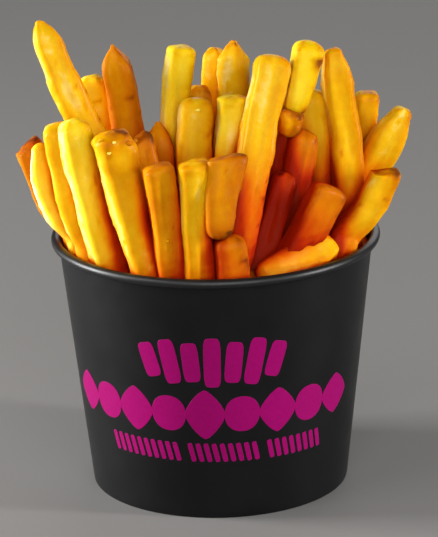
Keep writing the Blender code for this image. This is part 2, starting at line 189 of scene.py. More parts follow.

# How toasted the crust is, from 0 to 1: a plain face, and what each pattern and place adds.
# The last one is painted light: it makes faces to the left paler, as if lit from the upper
# left, and faces to the right browner, as if in shade.
PLAIN_TOAST = 0.38
PATCH_TOAST = 0.11
MOTTLE_TOAST = 0.04
STREAK_TOAST = 0.11
CORNER_TOAST = 0.16
TIP_TOAST = 0.24
LUMP_TOAST = 0.30
BROKEN_TOAST = 0.34
SPOT_TOAST = 0.3
PAINTED_SIDE_LIGHT = 0.12

# Loose crumbs and crystals of starch stuck to the crust: the fry's number in SHOWN, the share
# of its length, the side in degrees from the front to the right, the radius and the colour.
CRUMBS = (
    (7, 0.97, -30, 0.9, "golden"), (7, 0.90, 50, 1.2, "browned"), (7, 0.94, 10, 0.6, "pale"),
    (7, 0.88, -10, 0.5, "pale"), (8, 0.97, 0, 1.0, "browned"), (13, 0.93, 10, 0.6, "pale"),
    (9, 0.30, -10, 0.6, "golden"), (5, 0.97, 60, 0.8, "golden"),
)
CRUMB_TOAST = {"pale": 0.30, "golden": 0.55, "browned": 0.55}

# Colour of the crust by how toasted it is, and the painted shade tint it takes by how deep in
# the heap it lies: darker and redder where little light gets in.
POTATO_TONES = {
    "pale": ((0.14, "#F2E6AC"), (0.37, "#E8CA30"), (0.60, "#DEB408"), (0.82, "#C28002"),
             (0.98, "#7A3C0C")),
    "golden": ((0.12, "#ECD684"), (0.35, "#DCAC10"), (0.58, "#D08E00"), (0.80, "#B46400"),
               (0.98, "#6E3409")),
    "browned": ((0.06, "#D8A418"), (0.30, "#CC8802"), (0.56, "#BC6A00"), (0.80, "#9C4C00"),
                (0.98, "#5E2A09")),
}
PAINTED_SHADE_TINT = ((0.16, "#FFFFFF"), (0.36, "#FFEEC4"), (0.54, "#FCC474"), (0.70, "#EE8222"),
              (0.84, "#D04404"), (0.97, "#9C1C00"))

# Depth, from 0 to 1, is painted shade: darker, redder colour where a place sees little past the
# fries. It is halved for what stands high, more painted shade is added lower down, and more for
# the shaded recess in the middle of the heap, given by its centre and its reach along x, y and
# z.
# DULLING is how much rougher the crust is at depth 1 than at 0.
DEEPEST = 0.90
DULLING = 0.45
CORE_TOAST = 0.42
CORE_SHADE_DEPTH = 0.56
HIGH_RELIEF = 0.5
HIGH_FROM = 88.0
HIGH_FADE = 34.0
# Painted shade added low in the heap, more for the browner kinds.
LOW_SHADE = {"pale": 0.06, "golden": 0.16, "browned": 0.28}
LOW_SHADE_TOP = 116.0
LOW_SHADE_DEPTH = 40.0
# Painted shade: the recess in the middle of the heap is coloured darker and redder.
SHADED_RECESS_PLACE = np.array([17.0, -19.0, 85.0])
SHADED_RECESS_REACH = np.array([20.0, 18.0, 26.0])
SHADED_RECESS_EDGE = 1.45
SHADED_RECESS_DEPTH = 0.58

# Sight out of the heap, from which the painted shade is set: how steeply a ray may fall, where
# it starts above the crust, how far past the horizon it counts, and the share it loses per
# millimetre of fry.
LOWEST_RAY = -0.3
RAY_START = 2.5
RAY_WRAP = 0.1
RAY_LOSS = 0.3

# Print: flat magenta shapes on the front, by height on the wall and distance round it.
INK_LIFT = 0.03
INK_THICKNESS = 0.05
MOTIF_RINGS = 9
MOTIF_POINTS = 64


def linear(code):
    """An sRGB hex colour such as #C02080 as linear red, green, blue and alpha."""
    shares = [int(code[i:i + 2], 16) / 255.0 for i in (1, 3, 5)]
    bent = [c / 12.92 if c <= 0.04045 else ((c + 0.055) / 1.055) ** 2.4 for c in shares]
    return (*bent, 1.0)


def length_setting(name, description, default):
    """A setting in metres."""
    return FloatProperty(name=name, description=description, default=default, unit="LENGTH")


def color_setting(name, description, code):
    """A colour setting, with its default as an sRGB hex colour."""
    return FloatVectorProperty(
        name=name, description=description, subtype="COLOR", size=4, min=0.0, max=1.0,
        default=linear(code))


class CupSettings(PropertyGroup):
    segments: IntProperty(
        name="Segments", description="Faces round the cup", default=240, min=48, max=360)
    paper_color: color_setting("Paper", "Colour of the coated paper", "#040405")
    ink_color: color_setting("Ink", "Colour of the print", "#94005E")
    fibre: length_setting("Fibre", "Size of the paper's fibre pattern", 0.0006)


class FrySettings(PropertyGroup):
    blister: length_setting("Blisters", "Height of the blisters in the crust", 0.00035)
    wrinkle: length_setting("Wrinkles", "Depth of the lengthwise wrinkles", 0.00030)
    sink: length_setting("Sunken faces", "How far the middle of a face has sunk", 0.00018)
    bulge: length_setting("Bulges", "Height of the broad bulges", 0.00040)


class StageSettings(PropertyGroup):
    distance: length_setting("Distance", "From the camera to the cup", 1.1)
    elevation: FloatProperty(
        name="Elevation", description="How far the camera looks down",
        default=math.radians(18.0), subtype="ANGLE")
    roll: FloatProperty(
        name="Roll", description="Turn of the camera about its line of sight",
        default=math.radians(-1.26), subtype="ANGLE")
    lens: FloatProperty(
        name="Lens", description="Focal length in millimetres", default=246.7)
    floor_color: color_setting("Floor", "Colour of the floor", "#757371")


def add_node(tree, kind, sockets=None, **settings):
    """Add a node: settings are its own properties, and sockets maps an input to the value it
    holds or to the output that feeds it."""
    node = tree.nodes.new(kind)
    for name, value in settings.items():
        setattr(node, name, value)
    for name, value in (sockets or {}).items():
        if isinstance(value, bpy.types.NodeSocket):
            tree.links.new(value, node.inputs[name])
        else:
            node.inputs[name].default_value = value
    return node


def new_material(name):
    """An empty node material with its output; returns the material, its tree and output."""
    material = bpy.data.materials.new(name)
    material.use_nodes = True
    tree = material.node_tree
    tree.nodes.clear()
    return material, tree, tree.nodes.new("ShaderNodeOutputMaterial")


def noise_node(tree, scale, detail, rough):
    """Noise over the object's own coordinates, as the output that gives its value."""
    place = add_node(tree, "ShaderNodeTexCoord").outputs["Object"]
    return add_node(tree, "ShaderNodeTexNoise", {
        "Vector": place, "Scale": scale, "Detail": detail, "Roughness": rough}).outputs["Fac"]


def spread_node(tree, value, edge, low, high):
    """Spread a noise's middle, from edge to 1 - edge, over the range from low to high."""
    return add_node(tree, "ShaderNodeMapRange", {
        "Value": value, "From Min": edge, "From Max": 1.0 - edge, "To Min": low,
        "To Max": high}).outputs["Result"]


def bump_node(tree, height, strength, distance):
    """The normal that a height pattern gives."""
    return add_node(tree, "ShaderNodeBump", {
        "Height": height, "Strength": strength, "Distance": distance}).outputs["Normal"]


def shade(tree, output, sockets):
    """Make a Principled shader with these sockets the material's surface."""
    shader = add_node(tree, "ShaderNodeBsdfPrincipled", sockets)
    tree.links.new(shader.outputs["BSDF"], output.inputs["Surface"])


def add_object(name, data):
    """Link a new object that holds the data to the scene."""
    item = bpy.data.objects.new(name, data)
    bpy.context.scene.collection.objects.link(item)
    return item


def new_piece(name, points, faces, materials, node=None, colors=None, parts=None):
    """Make a mesh from points in millimetres and ride it on the body.

    faces is a list of index arrays, each with one face to a row; colors, if given, is an
    array of red, green and blue for each point, kept as the attribute "crust"; parts, if
    given, holds for each face which of the materials it has.
    """
    mesh = bpy.data.meshes.new(name)
    rows = [face for group in faces for face in np.asarray(group).tolist()]
    mesh.from_pydata((np.asarray(points) * MM).tolist(), [], rows)
    mesh.shade_smooth()
    if colors is not None:
        layer = mesh.color_attributes.new("crust", "FLOAT_COLOR", "POINT")
        rgba = np.concatenate([colors, np.ones((len(colors), 1))], axis=1)
        layer.data.foreach_set("color", rgba.astype(np.float32).ravel())
    for material in materials:
        mesh.materials.append(material)
    if parts is not None:
        mesh.polygons.foreach_set("material_index", np.asarray(parts, dtype=np.int32))
    mesh.update()
    piece = add_object(name, mesh)
    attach(piece, BODY)
    if node:
        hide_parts(node)


def grid_faces(rows, columns, wrap_rows=False):
    """Quads of a grid whose columns close on themselves, as rows of four indices."""
    i = np.arange(rows if wrap_rows else rows - 1)[:, None]
    j = np.arange(columns)[None, :]
    here, above = i * columns, (i + 1) % rows * columns
    k = (j + 1) % columns
    return np.stack([here + j, here + k, above + k, above + j], axis=2).reshape(-1, 4)


def fan_faces(pole, start, columns, flip):
    """Triangles from a pole to a closed ring of points."""
    j = np.arange(columns)
    k = (j + 1) % columns
    pair = (start + k, start + j) if flip else (start + j, start + k)
    return np.stack([np.full(columns, pole), *pair], axis=1)


def closed_faces(rows, columns, flip=False):
    """Faces of rings of points with a pole at each end. The two poles come after the rings."""
    quads = grid_faces(rows, columns)
    return [
        quads[:, ::-1] if flip else quads,
        fan_faces(rows * columns, 0, columns, not flip),
        fan_faces(rows * columns + 1, (rows - 1) * columns, columns, flip)]


def blend(t):
    """The smooth step 3t² - 2t³ between 0 and 1."""
    t = np.clip(t, 0.0, 1.0)
    return t * t * (3.0 - 2.0 * t)


def full_turn(count):
    """Evenly spaced angles once round."""
    return np.linspace(0.0, 2.0 * math.pi, count, endpoint=False)


def polar(radius, angle, height):
    """Points at a radius, an angle about Z and a height, which may be grids or rows."""
    x, y = radius * np.cos(angle), radius * np.sin(angle)
    return np.stack(np.broadcast_arrays(x, y, height), axis=-1)


def noise(points, cell, seed):
    """Smooth noise from -1 to 1: random values at the corners of cubes of the given size,
    blended inside each cube by the smooth step."""
    place = np.asarray(points, float) / cell
    base = np.floor(place).astype(np.int64)
    share = blend(place - base)
    total = np.zeros(place.shape[:-1])
    for corner in np.ndindex(2, 2, 2):
        spot = base + np.array(corner)
        key = spot @ np.array([73856093, 19349663, 83492791]) + seed * 2654435761
        key = (key ^ (key >> 13)) * 1274126177 & 0xFFFFFFFF
        value = ((key ^ (key >> 16)) & 0xFFFFFF) / float(0x7FFFFF) - 1.0
        weight = np.where(np.array(corner) == 1, share, 1.0 - share).prod(axis=-1)
        total += value * weight
    return total


def wall_radius(height):
    """Outer radius of the tapered wall at a height."""
    return FOOT_RADIUS + (WALL_TOP_RADIUS - FOOT_RADIUS) * height / RIM_HEIGHT


def inner_radius(height):
    """Radius of the space inside the wall at a height."""
    return wall_radius(height) - PAPER


def wall_profile():
    """Radius and height along the wall's closed outline, anticlockwise: the rounded foot, the
    outer face, an arc for the rolled rim, the inner face and the fold that holds the base."""
    under_bead = RIM_HEIGHT - BEAD - BEAD_NECK
    turn = np.linspace(-math.pi / 2.0, 0.0, 5)
    foot = np.stack([
        FOOT_RADIUS - FOOT_ROUND + FOOT_ROUND * np.cos(turn),
        FOOT_ROUND + FOOT_ROUND * np.sin(turn)], axis=1)
    height = np.linspace(1.0, under_bead, 40)
    outer = np.stack([wall_radius(height), height], axis=1)
    half = BEAD / 2.0
    angle = np.linspace(BEAD_START, BEAD_END, 28)
    bead = np.stack([
        RIM_RADIUS - half + half * np.cos(angle),
        RIM_HEIGHT - half + half * np.sin(angle)], axis=1)
    height = np.linspace(under_bead, PAPER, 24)
    inner = np.stack([inner_radius(height), height], axis=1)
    fold = inner_radius(0.0) - PAPER - 2.0 * GAP
    drift = inner_radius(FOLD_HEIGHT) - inner_radius(0.0)
    tail = np.array([
        (fold, PAPER), (fold + drift, FOLD_HEIGHT), (fold + drift - PAPER, FOLD_HEIGHT),
        (fold - PAPER, FOOT_ROUND), (fold - PAPER + FOOT_ROUND, 0.0)])
    return np.concatenate([foot, outer, bead, inner, tail])


def wall_surface(segments):
    """The profile turned about Z. The lapped seam lifts the outer face by one sheet over a
    narrow strip: it steps up at one edge and eases down at the other."""
    profile = wall_profile()
    edge = SEAM_HALF_WIDTH / WALL_TOP_RADIUS
    angles = full_turn(segments)
    step = SEAM_ANGLE - edge + np.array([-SEAM_STEP, SEAM_STEP])
    clear = np.abs(angles - step.mean()) > SEAM_CLEAR
    angles = np.sort(np.concatenate([angles[clear], step]))
    across = (angles - SEAM_ANGLE) / edge
    lap = np.where(across < -1.0, 0.0, 1.0 - blend((across + 0.2) / 1.2))
    outside = (profile[:, 0] >= wall_radius(profile[:, 1]) - 0.02) & (profile[:, 1] > 0.2)
    radius = profile[None, :, 0] + SEAM_RELIEF * lap[:, None] * outside[None, :]
    points = polar(radius, angles[:, None], profile[None, :, 1])
    faces = grid_faces(len(angles), len(profile), wrap_rows=True)[:, ::-1]
    return points.reshape(-1, 3), faces


def paper_material(name, color, fibre, roughness, specular):
    """Coated black paperboard: solid-dyed board under a matt dispersion coating. To the eye it
    is a near-black with a soft broad sheen, a trace of fibre and slightly uneven gloss."""
    material, tree, output = new_material(name)
    fine = noise_node(tree, 1.0 / fibre, 3.0, 0.6)
    broad = noise_node(tree, 90.0, 2.0, 0.5)
    light = tuple(min(1.0, c * 1.35 + 0.0008) for c in color[:3]) + (1.0,)
    tone = add_node(tree, "ShaderNodeMix", {
        "Factor": fine, "A": color, "B": light}, data_type="RGBA")
    shade(tree, output, {
        "Base Color": tone.outputs["Result"],
        "Roughness": spread_node(tree, broad, 0.3, roughness - 0.04, roughness + 0.04),
        "Normal": bump_node(tree, fine, 0.12, 0.00005), "IOR": 1.45,
        "Specular IOR Level": specular})
    return material


def ink_material(name, color, fibre):
    """Offset ink on coated board: an even, flat film, a little glossier than the paper, with
    the fibre showing through as a faint mottle."""
    material, tree, output = new_material(name)
    mottle = noise_node(tree, 0.5 / fibre, 4.0, 0.65)
    dark = tuple(c * 0.72 for c in color[:3]) + (1.0,)
    tone = add_node(tree, "ShaderNodeMix", {
        "Factor": mottle, "A": dark, "B": color}, data_type="RGBA")
    shade(tree, output, {
        "Base Color": tone.outputs["Result"],
        "Normal": bump_node(tree, mottle, 0.1, 0.00005),
        "Roughness": 0.5, "IOR": 1.48, "Specular IOR Level": 0.1})
    return material


def motif(across, height, half_width, half_height, power, turn=0.0):
    """One printed shape as a closed film on the wall.

    Its outline is |x/a|^n + |y/b|^n = 1: a disc for n = 2, a diamond for n = 1 and a rounded
    block for a large n. Rings shrink from the outline to the middle on the outer and the
    inner face, and each point is laid on the cone at its height and distance round it.
    """
    angle = full_turn(MOTIF_POINTS)
    c, s = np.cos(angle), np.sin(angle)
    reach = (np.abs(c) ** power + np.abs(s) ** power) ** (-1.0 / power)
    ring = np.concatenate([[1.0, 0.985], np.linspace(0.9, 0.0, MOTIF_RINGS)[:-1]])
    share = np.concatenate([ring[::-1], ring])
    lift = np.concatenate([
        np.full(len(ring), INK_LIFT), np.full(len(ring), INK_LIFT + INK_THICKNESS)])
    share = np.concatenate([[0.0], share, [0.0]])
    lift = np.concatenate([[lift[0]], lift, [lift[-1]]])
    x = share[:, None] * (half_width * reach * c)[None, :]
    y = share[:, None] * (half_height * reach * s)[None, :]
    turn = math.radians(turn)
    flat_x = across + x * math.cos(turn) - y * math.sin(turn)
    flat_y = height + x * math.sin(turn) + y * math.cos(turn)
    radius = wall_radius(flat_y) + lift[:, None]
    around = flat_x / wall_radius(height) - math.pi / 2.0
    points = polar(radius, around, flat_y)
    body = points[1:-1].reshape(-1, 3)
    points = np.concatenate([body, points[0, :1], points[-1, :1]])
    return points, closed_faces(len(share) - 2, MOTIF_POINTS, flip=True)


def print_motifs():
    """The generic design: a fan of upright bars, a band of chunky diamonds and discs below
    it, and three blocks of thin hatching at the foot."""
    shapes = []
    for i, half in enumerate((5.4, 7.0, 6.2, 7.8, 6.5, 7.4, 5.6)):
        shapes.append(motif(-1.8 + 6.3 * (i - 3), 50.4, 2.5, half, 5.0, -5.0 * (i - 3)))
    for i in range(9):
        across, shrink = -4.2 + 10.9 * (i - 4), 1.0 - 0.05 * abs(i - 4)
        if i % 2:
            shapes.append(motif(across, 33.8, 5.2, 5.6, 2.2))
        else:
            shapes.append(motif(across, 33.8, 6.0, 7.9 * shrink, 1.35))
    for start, count in ((-34.0, 10), (-8.3, 9), (15.1, 8)):
        for i in range(count):
            shapes.append(motif(start + 2.35 * i, 21.5, 0.74, 3.0, 6.0, 12.0))
    return shapes


def join_surfaces(surfaces):
    """Stack several (points, faces) pairs into one, moving the indices along."""
    points, faces, first = [], [], 0
    for some_points, some_faces in surfaces:
        points.append(some_points)
        faces.extend(np.asarray(group) + first for group in some_faces)
        first += len(some_points)
    return np.concatenate(points), faces


def fry_middle(low, tip, bow, share):
    """Points of a fry's middle line: straight from low to tip, and bowed to the right as
    4t(1 - t), which is 1 halfway."""
    low, tip = np.array(low), np.array(tip)
    share = np.asarray(share)[:, None]
    middle = low + (tip - low) * share
    middle[:, 0] += bow * (4.0 * share * (1.0 - share))[:, 0] * (share[:, 0] > 0.0)
    return middle


def keep_inside(middle, reach):
    """Draw the stations that lie below the rim in from the cup's wall. The draw fades out
    over the first millimetres above the rim."""
    distance = np.hypot(middle[:, 0], middle[:, 1])
    height = np.minimum(middle[:, 2], RIM_HEIGHT)
    limit = inner_radius(height) - WALL_CLEARANCE - reach
    held = 1.0 - blend((middle[:, 2] - RIM_HEIGHT) / DRAW_FADE)
    scale = 1.0 - held * (1.0 - np.minimum(1.0, limit / np.maximum(distance, 1e-6)))
    return middle * np.stack([scale, scale, np.ones_like(scale)], axis=1)


def section_axes(middle, turn):
    """Directions along the fry and across its section's width and thickness. turn may
    change along the fry."""
    along = np.gradient(middle, axis=0)
    along /= np.linalg.norm(along, axis=1, keepdims=True)
    right = np.array([1.0, 0.0, 0.0]) - along * along[:, :1]
    right /= np.linalg.norm(right, axis=1, keepdims=True)
    back = np.cross(along, right)
    angle = np.radians(turn)[:, None]
    wide = right * np.cos(angle) + back * np.sin(angle)
    deep = back * np.cos(angle) - right * np.sin(angle)
    return along, wide, deep


def fry_stations(low, tip, end):
    """Shares of the length where the model has a ring: foot, body, shoulder and tip."""
    length = math.dist(low, tip)
    shoulder = 1.0 - min(ENDS[end][0], END_LIMIT * length) / length
    foot = -FOOT_DEPTH / (tip[2] - low[2]) if low[2] == RIM_HEIGHT else 0.0
    body = np.linspace(0.0, shoulder, STATIONS - 1)
    if foot == 0.0:
        body = body[1:]
    return np.concatenate([[foot], body, [1.0]])


def sight_cover():
    """How near the shown fries stand, along each line of sight: the grid's x values, its
    sight heights and the depth of the nearest shown fry, infinite where there is none."""
    xs = np.arange(-60.0, 61.0, 1.0)
    heights = np.arange(60.0, 150.0, 1.0)
    grid = np.stack(np.meshgrid(xs, heights, indexing="ij"), axis=2)
    nearest = np.full(grid.shape[:2], np.inf)
    for low, tip, width, thickness, _turn, bow, end, _kind in SHOWN:
        shoulder = 1.0 - 0.5 * ENDS[end][0] / math.dist(low, tip)
        middle = fry_middle(low, tip, bow, np.linspace(0.0, shoulder, 24))
        seen = np.stack([middle[:, 0], middle[:, 2] + middle[:, 1] * SIGHT_SLOPE], axis=1)
        away = np.linalg.norm(grid[:, :, None, :] - seen[None, None], axis=3)
        depth = middle[:, 1][away.argmin(axis=2)]
        covers = away.min(axis=2) < 0.5 * max(width, thickness)
        nearest = np.where(covers, np.minimum(nearest, depth), nearest)
    return xs, heights, nearest


def hidden(low, tip, width, cover):
    """True if a fry stays behind the shown ones or in the cup, seen from the shown side."""
    xs, heights, nearest = cover
    middle = fry_middle(low, tip, 0.0, np.linspace(0.0, 1.0, 14))
    seen = middle[:, 2] + middle[:, 1] * SIGHT_SLOPE + SIGHT_MARGIN
    in_cup = middle[:, 2] < SHORTEST_TIP
    j = np.clip(np.rint(seen - heights[0]), 0, len(heights) - 1).astype(int)
    for side in (-0.6, 0.0, 0.6):
        i = np.clip(np.rint(middle[:, 0] + side * width - xs[0]), 0, len(xs) - 1).astype(int)
        behind = middle[:, 1] > nearest[i, j] + 0.5 * width
        if not (behind | in_cup).all():
            return False
    return True


def free_places(rng):
    """Places in the rim's plane, on a loose grid, that no shown fry has taken."""
    taken = [np.array(row[0][:2]) for row in SHOWN]
    places = []
    rows = int(GRID_RADIUS / GRID_PITCH) + 2
    for j in range(-rows, rows + 1):
        for i in range(-rows, rows + 1):
            place = np.array([(i + 0.5 * (j % 2)) * GRID_PITCH, j * GRID_PITCH * 0.87])
            place += rng.uniform(-GRID_JITTER, GRID_JITTER, 2)
            distance = float(np.hypot(*place))
            if distance > GRID_RADIUS + 2.0:
                continue
            place *= min(1.0, GRID_RADIUS / max(distance, 1e-6))
            if all(np.linalg.norm(place - other) > FREE_DISTANCE for other in taken):
                taken.append(place)
                places.append(place)
    return places


def hidden_fries(rng):
    """Rows for the fries behind and between the shown ones, as tall as stays hidden. One
    that no height hides is left out."""
    cover = sight_cover()
    rows = []
    for number, place in enumerate(free_places(rng)):
        low = (*place, RIM_HEIGHT)
        lean = rng.uniform(*LEAN_AT_RIM)
        sway = rng.uniform(-SWAY, SWAY, 2)
        width = rng.uniform(*WIDTHS)
        thickness = width * rng.uniform(*THICKNESS_SHARE)
        turn = rng.uniform(0.0, 60.0)
        end = PLAIN_ENDS[rng.integers(len(PLAIN_ENDS))]
        height = rng.uniform(*TIP_HEIGHTS)
        while height > SHORTEST_TIP:
            rise = height - RIM_HEIGHT
            tip = (*(place * (1.0 + lean * rise / GRID_RADIUS) + sway * rise), height)
            if hidden(low, tip, width, cover):
                break
            height -= HEIGHT_STEP
        else:
            continue
        kind = KINDS[(number * 7 + 1) % 3]
        rows.append((low, tip, width, thickness, turn, 0.0, end, kind))
    return rows


def end_profile(length, end, share_left, width):
    """Distance back from the tip and share of the section, from an end's shoulder on.

    A capped end is a quarter of the superellipse t^q + s^q = 1, with t along the fry and s
    the share: a large q gives a cut face with a soft edge, and 2 gives a dome. A pointed end
    narrows first, as 1 - (1 - s)t^1.8.
    """
    turn = np.radians(np.linspace(0.0, 90.0, 11))[:-1]
    power = ENDS[end][3]
    rise, share = np.sin(turn) ** (2.0 / power), np.cos(turn) ** (2.0 / power)
    if end in ("point", "wedge", "nib"):
        cap = min(0.42 * share_left * width, 0.4 * length)
        t = np.linspace(0.0, 1.0, 9)[:-1]
        back = np.concatenate([length - (length - cap) * t, cap * (1.0 - rise)])
        share = np.concatenate([1.0 - (1.0 - share_left) * t ** 1.8, share_left * share])
        return back, share
    return length * (1.0 - rise), share


def crust_spot(side, lengthwise, shift=0.0, stretch=1.0):
    """Where a pattern is read: the section's two coordinates and the way along the fry."""
    return np.stack([side[..., 0], side[..., 1], lengthwise * stretch], axis=-1) + shift


def crust_relief(ring, side, along, number, crust):
    """Height of the crust above the smooth section, in millimetres.

    Faces sink along their middles, as cos² of twice the angle round the section; blisters
    are noise of 1.8 mm cells cut off below zero; wrinkles are noise drawn out lengthwise;
    and bulges are noise of 9 mm and, less than half as high, of 3.5 mm cells.
    """
    spot = crust_spot(side, along, 60.0 * number)
    sunk = -crust["sink"] * np.cos(2.0 * ring) ** 2
    blister = crust["blister"] * np.clip(noise(spot, 1.8, 3), 0.0, None) ** 1.4
    wrinkle = crust["wrinkle"] * noise(spot * np.array([1.0, 1.0, 0.14]), 1.3, 5)
    bulge = crust["bulge"] * (0.75 * noise(spot, 9.0, 7) + 0.3 * noise(spot, 3.5, 9))
    return sunk + blister + wrinkle + bulge


def fry_frames(row, number, start, share):
    """The middle line at shares of a fry's length, and its three axes there. It keeps inside
    the cup, weaves by smooth noise above the rim, and twists evenly about itself."""
    low, tip, width, thickness, turn, bow, _end, _kind = row
    line = np.linspace(start, 1.0, 80)
    middle = keep_inside(fry_middle(low, tip, bow, line), REACH_SHARE * max(width, thickness))
    place = line * math.dist(low, tip) / WEAVE_LENGTH
    spot = np.stack([place, line * 0.0 + number, line * 0.0], axis=1)
    weave = np.stack([noise(spot, 1.0, 11), noise(spot, 1.0, 12)], axis=1)
    above = blend((middle[:, 2] - RIM_HEIGHT - 2.0) / 12.0)[:, None]
    middle[:, :2] += WEAVE * weave * above
    frames = section_axes(middle, turn + TWIST * (line - 0.5) * math.sin(number * 2.4))
    return [np.stack([np.interp(share, line, array[:, k]) for k in range(3)], axis=1)
            for array in (middle, *frames)]


def fry_surface(row, sizes, number, crust, shown):
    """One fry as a closed surface: the superellipse |x/a|^n + |y/b|^n = 1 carried along the
    middle line, with the relief of the crust added outwards from it.

    Returns its points, its faces, and for each point how toasted it is, from 0 to 1, with
    painted side light added, and which way it faces.
    """
    low, tip, width, thickness, _turn, _bow, end, _kind = row
    length = math.dist(low, tip)
    stations = fry_stations(low, tip, end)
    end_length = min(ENDS[end][0], END_LIMIT * length)
    top_back, top_share = end_profile(end_length, end, ENDS[end][1], width)
    step = RING_STEP if shown else HIDDEN_RING_STEP
    columns = RING_POINTS if shown else HIDDEN_RING_POINTS
    loose = stations[0] == 0.0
    if loose:
        low_back, low_share = end_profile(LOW_END_LENGTH, "round", LOW_END_SHARE, width)
        start, first = LOW_END_LENGTH / length, (low_back / length)[::-1]
        first_share = low_share[::-1]
    else:
        start, first, first_share = stations[0], np.array([]), np.array([])
    finish = 1.0 - end_length / length
    count = max(6, int((finish - start) * length / step))
    body = np.linspace(start, finish, count)[1 if loose else 0:-1]
    share = np.concatenate([first, body, 1.0 - top_back / length])
    scale = np.concatenate([first_share, np.ones(len(body)), top_share])

    smooth = np.interp(np.linspace(0, 1, 60), np.linspace(0, 1, len(sizes)), sizes)
    smooth = np.convolve(np.pad(smooth, 6, mode="edge"), np.ones(13) / 13.0, mode="valid")
    span = np.linspace(stations[0], 1.0, 60)
    scale = scale * np.interp(share, span, smooth)
    if end in GROWTH:
        scale = scale * np.interp(share, [0.0, 1.0], GROWTH[end])

    middle, along, wide, deep = fry_frames(row, number, stations[0], share)
    ring = full_turn(columns) + math.pi / columns
    c, s = np.cos(ring), np.sin(ring)
    power = np.interp(math.sin(number * 5.1), [-1.0, 1.0], SECTION_POWER)
    reach = 0.5 * (np.abs(c) ** power + np.abs(s) ** power) ** (-1.0 / power)
    across, through = width * reach * c, thickness * reach * s
    side = np.stack([scale[:, None] * across, scale[:, None] * through], axis=2)
    lengthwise = np.repeat((share * length)[:, None], columns, axis=1)
    relief = crust_relief(ring[None, :], side, lengthwise, number, crust)
    if number in WRINKLED:
        start_at, end_at = WRINKLED[number]
        band = blend((share - start_at) / 0.08) * blend((end_at - share) / 0.03)
        ridge = crust_spot(side, lengthwise, stretch=0.12)
        relief = relief + RIDGES * band[:, None] * (0.6 + noise(ridge, 1.5, 51))
    head = blend(1.0 - (1.0 - share) * length / LUMP_LENGTH)[:, None] * (end == "knot")
    lump = crust_spot(side, lengthwise, 9.0 * number)
    relief = relief + LUMP * head * (noise(lump, 4.6, 41) + 0.5 * noise(lump, 2.2, 42))
    size = np.linalg.norm(side, axis=2)
    side = side * (1.0 + relief / np.maximum(size, 1.0))[:, :, None]
    near_end = blend((share - finish) * length / max(end_length, 1e-6))[:, None]
    slope = ENDS[end][2] * across[None, :] * scale[:, None] * near_end
    points = (middle[:, None, :] + side[:, :, :1] * wide[:, None, :]
              + side[:, :, 1:] * deep[:, None, :] + slope[:, :, None] * along[:, None, :])

    spot = crust_spot(side, lengthwise, 60.0 * number)
    corner = (np.abs(np.sin(2.0 * ring)) ** 4)[None, :]
    near_tip = blend(1.0 - (1.0 - share) * length / 5.0)[:, None]
    streak = noise(spot * np.array([1.0, 1.0, 0.10]), 2.6, 31)
    toast = (PLAIN_TOAST + PATCH_TOAST * noise(spot, 8.0, 13)
             + MOTTLE_TOAST * noise(spot, 2.2, 17) + STREAK_TOAST * streak
             + CORNER_TOAST * corner
             + TIP_TOAST * near_tip * (0.5 + 0.5 * noise(spot, 1.6, 19)))
    toast = toast + LUMP_TOAST * head * (0.8 + 0.8 * noise(lump, 2.4, 45))
    outward = points - middle[:, None, :]
    outward /= np.maximum(np.linalg.norm(outward, axis=2, keepdims=True), 1e-6)
    # Painted light: faces towards the left are made paler and those towards the right browner.
    toast = toast + PAINTED_SIDE_LIGHT * outward[:, :, 0]
    if end in ("slant", "chunk"):
        cap = blend((1.0 - scale / scale[:-2].max()) * 4.0) * (share > finish)
        toast = toast + BROKEN_TOAST * cap[:, None] * (0.75 + 0.5 * noise(spot, 1.8, 43))
    if loose:
        near_low = blend(1.0 - share * length / 6.0)[:, None]
        toast = toast + BROKEN_TOAST * near_low * (0.7 + 0.3 * noise(spot, 2.0, 37))
    spots = blend((noise(spot, 2.6, 23) - 0.62) / 0.3) * SPOT_TOAST
    toast = np.clip(toast + spots, 0.0, 1.0)

    poles = np.stack([points[0].mean(axis=0), points[-1].mean(axis=0)])
    flat = np.concatenate([points.reshape(-1, 3), poles])
    facing = np.concatenate([outward.reshape(-1, 3), along[:1] * -1.0, along[-1:]])
    tone = np.concatenate([toast.ravel(), [toast[0].mean(), toast[-1].mean()]])
    return flat, closed_faces(len(share), columns), tone, facing


def fry_rows():
    """Every fry with its sizes at the model's stations, from the same random draws."""
    rng = np.random.default_rng(SEED)
    rows = SHOWN + hidden_fries(rng)
    sizes = []
    for row in rows:
        count = len(fry_stations(row[0], row[1], row[6]))
        sizes.append(1.0 + rng.uniform(-UNEVEN, UNEVEN, count))
    return rows, sizes


